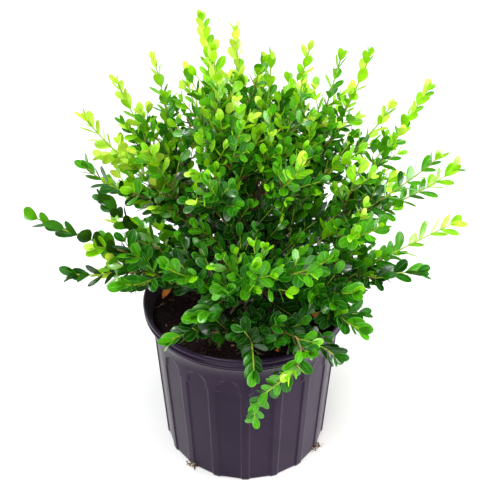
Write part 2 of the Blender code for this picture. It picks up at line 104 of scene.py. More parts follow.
# Each bough's leaders: azimuth and elevation of the tip from the head, reach, and end rise.
CROWN = {
    "left_low": {
        "left_long": (-80, 28, 0.256, 0.1),
        "left_bottom": (-75, 16, 0.203, 0.0),
        "left_shade": (-104, 30, 0.200, 0.2),
        "left_front_low": (-55, 24, 0.172, 0.1),
    },
    "left_high": {
        "left_mid": (-88, 44, 0.236, 0.4),
        "left_bright": (-103, 48, 0.266, 0.2),
        "left_upper": (-113, 57, 0.278, 0.3),
        "left_tall": (-124, 65, 0.284, 0.2),
    },
    "top_left": {
        "top_leader": (-137, 78, 0.310, 0.0),
        "top_second": (-60, 83, 0.295, 0.0),
        "front_high_left": (-22, 64, 0.215, 0.4),
    },
    "top_right": {
        "top_third": (-172, 75, 0.294, 0.1),
        "top_fourth": (150, 78, 0.270, 0.1),
        "top_sixth": (95, 77, 0.258, 0.2),
        "front_high_right": (38, 66, 0.225, 0.4),
    },
    "back_high": {
        "top_fifth": (168, 64, 0.266, 0.2),
        "top_seventh": (137, 69, 0.284, 0.3),
        "back_crown": (-152, 55, 0.250, 0.3),
        "back_mid": (172, 42, 0.235, 0.3),
    },
    "right_high": {
        "right_tall": (112, 68, 0.286, 0.4),
        "right_tall_outer": (119, 59, 0.301, 0.5),
        "right_upper": (98, 55, 0.268, 0.4),
    },
    "right_mid": {
        "right_long": (107, 47, 0.306, 0.4),
        "right_first": (87, 41, 0.267, 0.2),
        "right_short": (62, 40, 0.205, 0.3),
        "right_second": (99, 30, 0.276, 0.2),
    },
    "right_low": {
        "right_bright": (85, 24, 0.249, 0.2),
        "right_bottom": (73, 18, 0.208, -0.1),
        "front_right_upper": (52, 22, 0.160, 0.2),
        "front_right_lower": (48, 9, 0.168, 0.0),
    },
    "front_low": {
        "front_right": (37, 1, 0.160, -0.2),
        "hanging": (4, -28, 0.172, -1.2),
        "front_tip": (3, 6, 0.160, -0.6),
        "front_left": (-31, 10, 0.155, 0.0),
    },
    "front_mid": {
        "front_left_mid": (-32, 38, 0.185, 0.3),
        "front_face": (4, 42, 0.190, 0.4),
        "front_right_mid": (34, 40, 0.195, 0.3),
        "front_bright": (-22, 22, 0.150, 0.3),
    },
    "back_left": {
        "back_left_upper": (-145, 36, 0.235, 0.3),
        "back_left_long": (-124, 22, 0.222, 0.1),
        "back_left_low": (-158, 14, 0.196, 0.0),
    },
    "back_right": {
        "back_right_upper": (144, 40, 0.245, 0.3),
        "back_right_long": (124, 20, 0.232, 0.1),
        "back_right_low": (158, 14, 0.198, 0.0),
    },
}
OVER_LIP = {"hanging": (24, 7, 0.138)}
# The soil shows between these leaders' foliage, and below the inner shoots of this bough.
THIN = ("front_left", "front_tip", "left_front_low", "left_shade", "hanging", "front_bright")
THIN_BOUGH = "front_low"
LOW_SPREAD = 0.150  # how far from the head the low leaders' side shoots reach
THIN_SPREAD = 0.098

# Dead leaves on the soil: azimuth and radius of the place, then heading, tilt and length.
DEAD_LEAVES = (
    (-101, 0.100, 150, 38, 0.017),
    (-65, 0.068, 60, 5, 0.010),
    (-33, 0.034, 95, 8, 0.011),
    (-15, 0.029, -70, 5, 0.009),
    (-19, 0.058, 120, 10, 0.008),
    (23, 0.075, 40, 6, 0.010),
    (85, 0.080, 10, 12, 0.016),
    (140, 0.070, 200, 8, 0.014),
    (-150, 0.082, -30, 10, 0.015),
)

# Shoots and leaves at life size.
PATH_POINTS = 14
LEADER_RADII = (0.0014, 0.0007)
SIDE_RADII = (0.0008, 0.0005)
SIDE_SPACING = 0.0102  # along a limb, from one side shoot to the next
SIDE_LENGTH = 0.088
SIDE_ANGLE = 38
BARE_END = 0.68  # a leader's share beyond which it has no side shoots
INTERNODE = 0.0118
LEADER_INTERNODE = 0.0096
LEADER_INTERNODES = {"left_long": 0.0155, "left_bottom": 0.0150, "right_bright": 0.0125,
                     "right_bottom": 0.0120, "right_second": 0.0110, "front_left": 0.0130}
LEAF_LENGTH = 0.0215
HIGH_LEAF_SHARE = 0.76  # how large the upper crown's leaves are beside the lowest ones
LEAF_ROOM = 0.0056  # the least distance between two leaves' middles
SUNNY_SIDE = Vector((-0.1, -0.75, 0.95))  # the blades lean a little towards it
OPEN_ANGLE = 46
TIP_ANGLE = 24

# How much larger or smaller than its neighbours a leader's leaves are.
LEADER_LEAF = {
    "left_long": 1.08,
    "left_bright": 1.22,
    "left_mid": 1.10,
    "right_long": 1.05,
    "hanging": 0.78,
    "front_tip": 0.86,
}

# How much lighter or darker than their neighbours a leader's leaves and its side shoots' are.
LEADER_MOOD = {
    "left_long": (-0.32, 0.12),
    "left_bottom": (-0.25, 0.26),
    "left_shade": (-0.16, 0.36),
    "left_mid": (-0.20, 0.20),
    "left_bright": (0.32, 0.26),
    "left_upper": (0.06, 0.05),
    "left_front_low": (0.05, 0.04),
    "top_leader": (-0.04, 0),
    "top_second": (-0.12, 0),
    "right_tall": (-0.04, 0.02),
    "right_upper": (0.04, 0.06),
    "right_long": (0.04, 0.06),
    "right_short": (0.10, 0.08),
    "right_first": (-0.14, 0.06),
    "right_second": (-0.04, 0.08),
    "right_bottom": (-0.10, 0.0),
    "right_bright": (0.24, 0.18),
    "front_right": (-0.05, 0),
    "front_bright": (0.22, 0.18),
    "front_face": (0.08, 0.06),
    "hanging": (0.22, 0.18),
    "front_tip": (-0.10, 0),
}


def smooth_step(value):
    value = min(1, max(0, value))
    return value * value * (3 - 2 * value)


def direction(azimuth, elevation):
    a, e = math.radians(azimuth), math.radians(elevation)
    return Vector((math.sin(a) * math.cos(e), -math.cos(a) * math.cos(e), math.sin(e)))


# Materials


def shader_material(name, colour, roughness, **settings):
    made = bpy.data.materials.new(name)
    made.use_nodes = True
    shader = made.node_tree.nodes["Principled BSDF"]
    shader.inputs["Base Color"].default_value = (*colour, 1)
    shader.inputs["Roughness"].default_value = roughness
    for socket, value in settings.items():
        shader.inputs[socket.replace("_", " ")].default_value = value
    return made, made.node_tree, shader


def add_noise(tree, scale, detail=3.0, stretch=(1, 1, 1)):
    where = tree.nodes.new("ShaderNodeTexCoord")
    fit = tree.nodes.new("ShaderNodeMapping")
    fit.inputs["Scale"].default_value = stretch
    pattern = tree.nodes.new("ShaderNodeTexNoise")
    pattern.inputs["Scale"].default_value = scale
    pattern.inputs["Detail"].default_value = detail
    tree.links.new(where.outputs["Object"], fit.inputs["Vector"])
    tree.links.new(fit.outputs["Vector"], pattern.inputs["Vector"])
    return pattern.outputs["Fac"]


def ramp(tree, value, stops):
    """A colour ramp over a 0..1 value; stops are (place, colour)."""
    made = tree.nodes.new("ShaderNodeValToRGB")
    ends = made.color_ramp.elements
    while len(ends) < len(stops):
        ends.new(0.5)
    for end, (place, colour) in zip(ends, stops):
        end.position = place
        end.color = (*colour, 1)
    tree.links.new(value, made.inputs["Fac"])
    return made.outputs["Color"]


def add_bump(tree, shader, height, strength, distance):
    bump = tree.nodes.new("ShaderNodeBump")
    bump.inputs["Strength"].default_value = strength
    bump.inputs["Distance"].default_value = distance
    tree.links.new(height, bump.inputs["Height"])
    tree.links.new(bump.outputs["Normal"], shader.inputs["Normal"])


def mottled(name, dark, light, roughness, scale, bump=0.0, distance=0.0005, stretch=(1, 1, 1),
            **settings):
    """A material whose colour drifts between two shades, with a matching bump."""
    made, tree, shader = shader_material(name, light, roughness, **settings)
    pattern = add_noise(tree, scale, stretch=stretch)
    colour = ramp(tree, pattern, ((0.32, dark), (0.68, light)))
    tree.links.new(colour, shader.inputs["Base Color"])
    if bump:
        add_bump(tree, shader, pattern, bump, distance)
    return made


def shade(colour, amount):
    return tuple(min(1, c * amount) for c in colour)


def leaf_material(name, colour, roughness, gloss=0.5):
    return mottled(name, shade(colour, 0.78), shade(colour, 1.15), roughness, 90, 0.15, 0.0003,
                   Specular_IOR_Level=gloss)


# Meshes


def make_mesh(name, points, faces, skins, marks=None, sharp=40):
    """A smooth mesh object; marks give each face's material."""
    mesh = bpy.data.meshes.new(name)
    mesh.from_pydata([tuple(p) for p in points], [], [tuple(f) for f in faces])
    for skin in skins:
        mesh.materials.append(skin)
    if marks is not None:
        mesh.polygons.foreach_set("material_index", list(marks))
    mesh.shade_smooth()
    mesh.set_sharp_from_angle(angle=math.radians(sharp))
    made = bpy.data.objects.new(name, mesh)
    bpy.context.scene.collection.objects.link(made)
    return made


def place(piece, slot, *nodes):
    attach(piece, "root")
    if nodes:
        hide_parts(*nodes)


def bezier(a, b, c, d, t):
    s = 1 - t
    return a * s ** 3 + b * (3 * s * s * t) + c * (3 * s * t * t) + d * t ** 3


def curve(a, b, c, d, count):
    return [bezier(a, b, c, d, i / (count - 1)) for i in range(count)]


def frames(path):
    last = len(path) - 1
    tangents = [(path[min(i + 1, last)] - path[max(i - 1, 0)]).normalized() for i in range(last + 1)]
    side = tangents[0].orthogonal().normalized()
    made = []
    for tangent in tangents:
        side = (side - tangent * side.dot(tangent)).normalized()
        made.append((tangent, side, tangent.cross(side)))
    return made


def tube(path, radii, sides, relief=None):
    """A capped tube; relief(ring, side) scales each point's radius."""
    points = []
    for ring, (point, (_, side, other), radius) in enumerate(zip(path, frames(path), radii)):
        for s in range(sides):
            a = 2 * math.pi * s / sides
            r = radius * (relief(ring, s) if relief else 1)
            points.append(point + (side * math.cos(a) + other * math.sin(a)) * r)
    faces = []
    for ring in range(len(path) - 1):
        for s in range(sides):
            t = (s + 1) % sides
            low, high = ring * sides, (ring + 1) * sides
            faces.append((low + s, low + t, high + t, high + s))
    faces.append(tuple(reversed(range(sides))))
    faces.append(tuple((len(path) - 1) * sides + s for s in range(sides)))
    return points, faces


def taper(radii, count):
    first, last = radii
    return [first + (last - first) * i / (count - 1) for i in range(count)]


class Heap:
    """Shapes gathered into one mesh."""

    def __init__(self):
        self.points = []
        self.faces = []
        self.marks = []

    def add(self, points, faces, marks):
        base = len(self.points)
        self.points.extend(points)
        self.faces.extend([i + base for i in f] for f in faces)
        self.marks.extend([marks] * len(faces) if isinstance(marks, int) else marks)

    def build(self, name, skins, sharp=40):
        return make_mesh(name, self.points, self.faces, skins, self.marks, sharp)


# Growth: the same rule as the solids', carried on to side shoots.


def along(path, share):
    lengths = [(b - a).length for a, b in zip(path, path[1:])]
    left = share * sum(lengths)
    for (a, b), length in zip(zip(path, path[1:]), lengths):
        if left <= length:
            return a.lerp(b, left / length), (b - a).normalized()
        left -= length
    return path[-1].copy(), (path[-1] - path[-2]).normalized()


def path_length(path):
    return sum((b - a).length for a, b in zip(path, path[1:]))


def tip_of(leader, last_leaf=LAST_LEAF_REACH):
    azimuth, elevation, reach, _ = leader
    return HEAD + direction(azimuth, elevation) * (reach - last_leaf)


def fork_of(bough):
    tips = [tip_of(leader) for leader in CROWN[bough].values()]
    axis = sum(((tip - HEAD).normalized() for tip in tips), Vector()).normalized()
    reach = sum((tip - HEAD).length for tip in tips) / len(tips)
    return HEAD + axis * reach * FORK_SHARE, axis


def bough_path(bough, count):
    """From inside the head, so the bough's foot is buried in it, to its fork."""
    fork, axis = fork_of(bough)
    leaving = direction(*BOUGH_LEAVES[bough])
    start = HEAD + leaving * HEAD_RADIUS * 0.8
    handle = (fork - start).length * 0.35
    return curve(start, start + leaving * handle, fork - axis * handle, fork, count)


def stem_starts(bough):
    fork, axis = fork_of(bough)
    side = axis.orthogonal().normalized()
    other = axis.cross(side)
    headings = {}
    for name, leader in CROWN[bough].items():
        away = tip_of(leader) - fork
        headings[name] = math.atan2(away.dot(other), away.dot(side))
    order = sorted(headings, key=headings.get)
    step = 2 * math.pi / len(order)
    x = sum(math.cos(headings[name] - i * step) for i, name in enumerate(order))
    y = sum(math.sin(headings[name] - i * step) for i, name in enumerate(order))
    first = math.atan2(y, x)
    starts = {}
    for i, name in enumerate(order):
        a = first + i * step
        starts[name] = fork + (side * math.cos(a) + other * math.sin(a)) * STEM_OFFSET
    return starts, axis


def leader_path(name, start, axis, leader):
    tip = tip_of(leader, TIP_LEAF_REACHES.get(name, TIP_LEAF_REACH))
    foot = start + axis * STEM_FOOT
    ending = ((tip - HEAD).normalized() + UP * leader[3]).normalized()
    if name in OVER_LIP:
        azimuth, elevation, reach = OVER_LIP[name]
        over = HEAD + direction(azimuth, elevation) * reach
        crossing = (tip - foot).normalized()
        out = (over - foot).length * 0.35
        down = (tip - over).length * 0.35
        half = PATH_POINTS // 2
        return ([start] + curve(foot, foot + axis * out, over - crossing * out, over, half)
                + curve(over, over + crossing * down, tip - ending * down, tip, half)[1:])
    length = (tip - foot).length
    return [start] + curve(foot, foot + axis * length * 0.25, tip - ending * length * 0.35, tip,
                           PATH_POINTS)


def off_the_pot(point, room=0.002):
    """True above the soil or outside the pot's wall."""
    radius = math.hypot(point.x, point.y)
    if radius < INNER_RIM_RADIUS:
        return point.z > SOIL_Z + room
    return radius > RIM_RADIUS + room or point.z > POT_HEIGHT + room


def side_shoot(point, heading, length, chance):
    """A side shoot that turns up towards the light as it grows."""
    lift = 0.10 + 0.22 * max(0, 1 - heading.z)
    end = point + heading * length + UP * length * lift
    sway = Vector((chance.uniform(-1, 1), chance.uniform(-1, 1), 0)) * length * 0.06
    return curve(point, point + heading * length * 0.36, end - UP * length * 0.3 * lift
                 - heading * length * 0.3 + sway, end + sway, 7)


def side_heading(point_tangent, turn, angle):
    side = point_tangent.orthogonal().normalized()
    lateral = side * math.cos(turn) + point_tangent.cross(side) * math.sin(turn)
    return point_tangent * math.cos(angle) + lateral * math.sin(angle)


def side_shoots(path, first, last, longest, limit, spacing, chance):
    """Side shoots turned round a limb, kept off the pot and within a distance of the head."""
    made = []
    length = path_length(path)
    share = first
    turn = chance.uniform(0, 2 * math.pi)
    while share < last:
        point, tangent = along(path, share)
        heading = side_heading(tangent, turn, math.radians(SIDE_ANGLE + chance.uniform(-9, 9)))
        grown = longest * (1.05 - 0.6 * share) * chance.uniform(0.65, 1.15)
        most = limit * chance.uniform(0.72, 1.0) - (point - HEAD).length
        grown = min(grown, max(0.022, most))
        shoot = side_shoot(point, heading, grown, chance)
        if all(off_the_pot(p, 0.004) for p in shoot):
            made.append(shoot)
        share += spacing * chance.uniform(0.8, 1.2) / length
        turn += math.radians(137.5)
    return made


def grow_shoots(name, start, axis, leader):
    """The shoots of one leader as (path, radii, first leafy share, order)."""
    chance = random.Random(f"{SEED} {name}")
    path = leader_path(name, start, axis, leader)
    shoots = [(path, LEADER_RADII, 0.30, 0)]
    limit, spacing, last = leader[2] * 0.74, SIDE_SPACING, BARE_END
    if leader[1] > 60:
        limit = leader[2] * 0.90
    elif leader[1] < 46:
        limit = min(leader[2] * 0.84, LOW_SPREAD)
        last = min(BARE_END, LOW_SPREAD * 0.9 / leader[2])
    if name in THIN:
        limit, spacing = THIN_SPREAD, SIDE_SPACING * 1.6
    for shoot in side_shoots(path, 0.06, last, SIDE_LENGTH, limit, spacing, chance):
        shoots.append((shoot, SIDE_RADII, 0.12, 1))
        length = path_length(shoot)
        if length > 0.055:
            for twig in side_shoots(shoot, 0.2, 0.6, length * 0.5, limit, 0.019, chance):
                shoots.append((twig, SIDE_RADII, 0.25, 2))
    return shoots, chance


def grow_inner(bough):
    """The short leafy shoots that fill the crown's middle, on a bough itself."""
    chance = random.Random(f"{SEED} inner {bough}")
    path = bough_path(bough, 16)
    low = BOUGH_LEAVES[bough][1] < 20 and not bough.startswith("back")
    thin = bough == THIN_BOUGH
    shoots = side_shoots(path, 0.15, 1.0, 0.050 if thin else 0.090, 0.125 if low else 0.18,
                         0.0180 if thin else 0.0062, chance)
    return [(shoot, SIDE_RADII, 0.2, 1) for shoot in shoots], chance


# Leaves

STATIONS = (0.0, 0.09, 0.27, 0.50, 0.71, 0.88, 0.97, 1.0)
HALF_WIDTHS = (0.10, 0.30, 0.72, 0.97, 0.97, 0.72, 0.38, 0.10)
COLUMNS = (-1.0, -0.87, -0.07, 0.07, 0.87, 1.0)
LEAF_WIDTH_SHARE = 0.58
TOP, UNDER, VEIN = 0, 1, 2


def leaf_pattern():
    """A unit leaf's faces and their kinds: blade and margin above, vein, and underside."""
    faces, kinds = [], []
    rows, wide = len(STATIONS), len(COLUMNS)
    for r in range(rows - 1):
        for c in range(wide - 1):
            a, b = r * wide + c, (r + 1) * wide + c
            faces.append((a, a + 1, b + 1, b))
            kinds.append(VEIN if c in (0, 2, 4) else TOP)
    keel = rows * wide
    for r in range(rows - 1):
        left, right = r * wide, r * wide + wide - 1
        faces.append((left, left + wide, keel + r + 1, keel + r))
        faces.append((keel + r, keel + r + 1, right + wide, right))
        kinds += [UNDER, UNDER]
    faces.append((*reversed(range(wide)), keel))
    faces.append((*range((rows - 1) * wide, rows * wide), keel + rows - 1))
    kinds += [UNDER, UNDER]
    return faces, kinds


LEAF_FACES, LEAF_KINDS = leaf_pattern()


def leaf_points(base, heading, normal, length, fold, droop, twist):
    """The leaf's points: margins turned down from the midrib, the tip drooping."""
    across = heading.cross(normal).normalized()
    normal = across.cross(heading).normalized()
    t = np.array(STATIONS)[:, None]
    u = np.array(COLUMNS)[None, :]
    half = np.array(HALF_WIDTHS)[:, None] * LEAF_WIDTH_SHARE / 2
    x = t * np.ones_like(u)
    y = half * u
    z = fold * half * (np.abs(u) - 0.9 * u * u) - droop * t * t + twist * half * u * t
    top = np.stack([x, y, z], axis=-1).reshape(-1, 3)
    thick = 0.022 * (0.5 + 0.5 * np.array(HALF_WIDTHS))
    edge_z = z[:, 0] / 2 + z[:, -1] / 2
    keel_z = np.minimum(z[:, 2], edge_z) - thick
    keel = np.stack([t[:, 0], np.zeros(len(STATIONS)), keel_z], axis=-1)
    local = np.concatenate([top, keel]) * length
    axes = np.array([heading, across, normal])
    return local @ axes + np.array(base)


def leaves_of(shoot, internode, leaf_length, chance):
    """The leaves of one shoot as (base, heading, normal, length, age), foot to tip."""
    path, radii, first_share, order = shoot
    length = path_length(path)
    count = max(1, round(length * (1 - first_share) / internode))
    twist = chance.uniform(0, math.pi)
    for node in range(count + 1):
        share = first_share + (1 - first_share) * node / count
        point, tangent = along(path, min(share, 0.995))
        flat = tangent.cross(UP)
        side = flat.normalized() if flat.length > 0.2 else tangent.orthogonal().normalized()
        other = tangent.cross(side)
        upright = abs(tangent.z)
        a = (node % 2) * math.pi / 2 * (0.12 + 0.88 * upright ** 2) + twist * upright ** 2
        a += chance.uniform(-0.3, 0.3)
        lateral = side * math.cos(a) + other * math.sin(a)
        age = 1 - node / count
        steep = (point - HEAD).normalized().z
        high = smooth_step((steep - 0.40) / 0.40)
        opening = math.radians(TIP_ANGLE + (OPEN_ANGLE - TIP_ANGLE) * min(1, age * 1.8))
        size = leaf_length * (1 - (1 - HIGH_LEAF_SHARE) * high)
        size *= (0.82 + 0.18 * min(1, age * 5)) * (1 - 0.06 * order)
        pairs = [(lateral, opening, 1.0)]
        if node == count:
            pairs.append((tangent.cross(lateral), math.radians(TIP_ANGLE * 0.6), 0.7))
        light = ((point - HEAD).normalized() * 0.8 + SUNNY_SIDE).normalized()
        facing = (0.24 if order else 0.36) + 0.20 * (1 - upright) + 0.35 * max(0, -tangent.z)
        for sideways, angle, share_of_size in pairs:
            for sign in (1, -1):
                spread = angle + chance.uniform(-0.20, 0.20)
                away = sideways * sign + tangent.cross(sideways) * chance.uniform(-0.3, 0.3)
                away.normalize()
                heading = tangent * math.cos(spread) + away * math.sin(spread)
                normal = tangent * math.sin(spread) - away * math.cos(spread)
                normal = normal.lerp(light, facing)
                normal += heading.cross(normal) * chance.gauss(0, 0.38)
                sized = size * share_of_size * chance.uniform(0.82, 1.14)
                yield point, heading, normal.normalized(), sized, age


def foliage_materials():
    """Greens for the tones: the darkest is painted shade for the crown's inside, and the lightest are
    the newest growth's own lime, made lighter still as painted light on the outer and higher leaves.
    """
    blades = {
        "shade": (0.005, 0.052, 0.001, 0.20),
        "old": (0.015, 0.140, 0.001, 0.26),
        "mid": (0.062, 0.315, 0.001, 0.33),
        "bright": (0.225, 0.600, 0.003, 0.38),
        "new": (0.540, 0.930, 0.070, 0.42),
    }
    skins = []
    for age, (red, green, blue, gloss) in blades.items():
        # Undersides are paler: partly their own paler colour, and partly painted light, as if light
        # shone through the leaf.
        under = (red * 1.3 + 0.02, green * 1.1 + 0.04, blue + 0.004)
        vein = (red * 1.25 + 0.040, green * 1.15 + 0.085, blue + 0.022)
        skins.append(leaf_material("leaf_top_" + age, (red, green, blue), 0.25, gloss))
        skins.append(leaf_material("leaf_under_" + age, under, 0.65, gloss * 0.25))
        skins.append(leaf_material("leaf_vein_" + age, vein, 0.45, gloss * 0.6))
    return skins


def tone_of(point, age, mood):
    """A leaf's tone, from 0 in the painted shade of the crown's inside to 4 for the lightest leaves:
    newer leaves are lighter in their own colour, and outer and higher leaves are made lighter as
    painted light.
    """
    out = (point - HEAD).length
    # Painted light and shade: leaves farther from the head and higher up get lighter tones and the
    # inside gets darker ones; the age term is the new growth's own lighter colour.
    exposed = min(1, max(0, (out - 0.075) / 0.19))
    high = min(1, max(0, (point.z - 0.20) / 0.27))
    value = 0.44 * exposed + 0.21 * high + 0.20 * (1 - age) - 0.03 + mood
    return min(4, max(0, int(value * 5)))


class Spacing:
    """Remembers where leaves stand, in cells, to keep them from crowding."""

    def __init__(self, cell):
        self.cell = cell
        self.cells = {}

    def has_room(self, point, room):
        x, y, z = (int(c // self.cell) for c in point)
        for i in (x - 1, x, x + 1):
            for j in (y - 1, y, y + 1):
                for k in (z - 1, z, z + 1):
                    for other in self.cells.get((i, j, k), ()):
                        if (other - point).length < room:
                            return False
        return True

    def add(self, point):
        key = tuple(int(c // self.cell) for c in point)
        self.cells.setdefault(key, []).append(point)


def add_twig(heap, shoot):
    path, radii, _, order = shoot
    sides = 6 if order == 0 else 5
    points, faces = tube(path, taper(radii, len(path)), sides)
    marks = []
    for ring in range(len(path) - 1):
        share = ring / (len(path) - 1)
        newness = share if order == 0 else 0.35 + 0.65 * share
        marks += [0 if newness < 0.28 else 1 if newness < 0.62 else 2] * sides
    heap.add(points, faces, marks + [0, 2])


def add_leaves(heap, shoot, moods, leaf_length, internode, spacing, chance):
    """A shoot's leaves, in tones set by their place; only a leader's stand unthinned."""
    on_leader = shoot[3] == 0
    mood = moods[0 if on_leader else 1]
    mood += chance.uniform(-0.10, 0.10) if on_leader else chance.uniform(-0.25, 0.25)
    added = 0
    for base, heading, normal, size, age in leaves_of(shoot, internode, leaf_length, chance):
        middle = base + heading * size * 0.5
        tip = base + heading * size
        if not off_the_pot(middle) or not off_the_pot(tip):
            continue
        if not on_leader and not spacing.has_room(middle, LEAF_ROOM * size / LEAF_LENGTH):
            continue
        spacing.add(middle)
        tone = tone_of(middle, age, mood + chance.uniform(-0.13, 0.13))
        shape = leaf_points(base, heading, normal, size, chance.uniform(0.25, 0.60),
                            chance.uniform(-0.02, 0.10), chance.uniform(-0.25, 0.25))
        heap.add(shape, LEAF_FACES, [tone * 3 + kind for kind in LEAF_KINDS])
        added += 1
    return added


def grow_crown():
    skins = foliage_materials()
    bark_skins = [
        mottled("twig_bark", (0.07, 0.035, 0.018), (0.20, 0.11, 0.05), 0.8, 260, 0.6),
        mottled("twig_tan", (0.18, 0.13, 0.03), (0.34, 0.25, 0.05), 0.65, 260, 0.4),
        mottled("twig_green", (0.20, 0.34, 0.015), (0.40, 0.54, 0.03), 0.5, 260, 0.2),
    ]
    grown = []
    for bough in CROWN:
        starts, axis = stem_starts(bough)
        for name, leader in CROWN[bough].items():
            moods, leaf_length = LEADER_MOOD.get(name, (0, 0)), LEAF_LENGTH * LEADER_LEAF.get(name, 1)
            internode = LEADER_INTERNODES.get(name, LEADER_INTERNODE)
            shoots, chance = grow_shoots(name, starts[name], axis, leader)
            grown.append((bough, shoots, moods, leaf_length, internode, chance))
        shoots, chance = grow_inner(bough)
        grown.append((bough, shoots, (0, 0), LEAF_LENGTH, INTERNODE, chance))
    heaps = {bough: (Heap(), Heap()) for bough in CROWN}
    spacing = Spacing(LEAF_ROOM * 1.2)
    counted = 0
    for order in (0, 1, 2):
        for bough, shoots, moods, leaf_length, leader_internode, chance in grown:
            internode = INTERNODE if order else leader_internode
            leaf_heap, twig_heap = heaps[bough]
            for shoot in shoots:
                if shoot[3] != order:
                    continue
                add_twig(twig_heap, shoot)
                counted += add_leaves(leaf_heap, shoot, moods, leaf_length, internode, spacing,
                                      chance)
    for bough, (leaf_heap, twig_heap) in heaps.items():
        leaves = leaf_heap.build("foliage_" + bough, skins, 50)
        old = bough in ("front_low", "right_low", "left_low")
        place(leaves, "leaf_old" if old else "leaf_new", *["leaves_" + n for n in CROWN[bough]])
        twigs = twig_heap.build("twigs_" + bough, bark_skins)
        place(twigs, "bark")
    return counted


# Root crown and boughs


def bark_relief(azimuth, height, seed):
    """Shallow upright ridges and cracks, as a scale on the radius."""
    ridge = noise.noise(Vector((math.cos(azimuth) * 2.4, math.sin(azimuth) * 2.4, height * 90 + seed)))
    fine = noise.noise(Vector((math.cos(azimuth) * 6, math.sin(azimuth) * 6, height * 320 + seed)))
    return 1 + 0.085 * ridge + 0.05 * fine


def build_limbs():
    bark = mottled("bark", (0.045, 0.026, 0.017), (0.19, 0.112, 0.064), 0.85, 420, 0.9, 0.0006,
                   stretch=(1, 1, 0.35))
    heap = Heap()
    foot = SOIL_Z + 0.0002
    profile = [(foot, ROOT_FLARE_RADIUS), (foot + 0.0018, 0.0158), (foot + 0.004, 0.0132),
               (foot + 0.007, 0.0108), (foot + 0.010, NECK_RADIUS), (foot + 0.014, 0.0096)]
    for latitude in range(-30, 91, 12):
        a = math.radians(latitude)
        profile.append((HEAD.z + HEAD_RADIUS * math.sin(a), max(0.0006, HEAD_RADIUS * math.cos(a))))
    sides = 48
    points = []
    for z, radius in profile:
        lobe = 0.2 * max(0, 1 - (z - foot) / 0.012)
        for s in range(sides):
            azimuth = 2 * math.pi * s / sides
            swell = 1 + lobe * math.sin(azimuth * ROOT_LOBES)
            r = radius * swell * bark_relief(azimuth, z, 3.0)
            points.append(Vector((math.sin(azimuth) * r, -math.cos(azimuth) * r, z)))
    faces = []
    for ring in range(len(profile) - 1):
        for s in range(sides):
            t = (s + 1) % sides
            low, high = ring * sides, (ring + 1) * sides
            faces.append((low + s, low + t, high + t, high + s))
    faces.append(tuple(reversed(range(sides))))
    faces.append(tuple((len(profile) - 1) * sides + s for s in range(sides)))
    heap.add(points, faces, 0)
    for number, bough in enumerate(CROWN):
        count = 34
        path = bough_path(bough, count)
        _, axis = fork_of(bough)
        path.append(path[-1] + axis * 0.0012)
        radii = []
        for ring in range(count + 1):
            share = ring / count
            collar = 1 + 0.55 * max(0, 1 - share / 0.12) ** 2
            swelling = 1 + 0.50 * max(0, (share - 0.88) / 0.12)
            radii.append((BOUGH_RADII[0] + (BOUGH_RADII[1] - BOUGH_RADII[0]) * share)
                         * collar * swelling)
        radii[-1] *= 0.7
        around = 14

        def relief(ring, s, number=number, around=around):
            return bark_relief(2 * math.pi * s / around, ring * 0.0028, 10.0 * number)

        heap.add(*tube(path, radii, around, relief), 0)
    limbs = heap.build("bark_limbs", [bark], 60)
    place(limbs, "bark", "root_crown", *["bough_" + bough for bough in CROWN])


# Pot

# From the shoulder up and over the lip: collar, groove, bead, recess, rolled lip, inside.
OUTER_PROFILE = (
    (0.1650, 0.1077), (0.1700, 0.1084), (0.1745, 0.1094), (0.1790, 0.1110), (0.1825, 0.1130),
    (0.1842, 0.1145), (0.1851, 0.1152), (0.1856, 0.1152), (0.1860, 0.1146), (0.1865, 0.1146),
    (0.1869, 0.1154), (0.1876, 0.1163), (0.1886, 0.1169), (0.1898, 0.1171), (0.1909, 0.1168),
    (0.1918, 0.1161), (0.1924, 0.1153), (0.1930, 0.1151), (0.1936, 0.1155), (0.1943, 0.1165),
    (0.1952, 0.1172), (0.1965, RIM_RADIUS), (0.1980, 0.1174), (0.1991, 0.1170), (0.1998, 0.1163),
    (POT_HEIGHT, 0.1156), (0.1998, 0.1150), (0.1992, 0.1145), (0.1982, 0.1142), (0.1965, 0.1139),
    (INNER_RIM_Z, INNER_RIM_RADIUS), (0.1880, 0.1115), (0.1800, 0.1083),
    (INNER_SHOULDER_Z, INNER_SHOULDER_RADIUS),
)


def wall_radius(z):
    return FOOT_RADIUS + (SHOULDER_RADIUS - FOOT_RADIUS) * min(1, z / SHOULDER_Z)


def panel_share(from_middle, z):
    """1 on a panel's flat, 0 on the ribs and above the panel's arch."""
    off = abs(from_middle)
    sideways = smooth_step((PANEL_HALF + PANEL_EDGE - off) / PANEL_EDGE)
    share = min(1, off / PANEL_HALF)
    arch = ARCH_SPRING_Z + (ARCH_TOP_Z - ARCH_SPRING_Z) * math.sqrt(max(0, 1 - share ** 2.4))
    above = smooth_step((arch + 0.0012 - z) / 0.0012)
    return sideways * above


def outer_radius(azimuth, z):
    pitch = 360 / PANEL_COUNT
    from_middle = (azimuth % pitch) - pitch / 2
    rib = wall_radius(z)
    flat = (rib - PANEL_DEPTH) * math.cos(math.radians(PANEL_HALF))
    panel = flat / math.cos(math.radians(min(abs(from_middle), PANEL_HALF)))
    share = panel_share(from_middle, z)
    radius = rib + (panel - rib) * share
    return radius - 0.0012 * max(0, 1 - z / 0.0012) ** 2


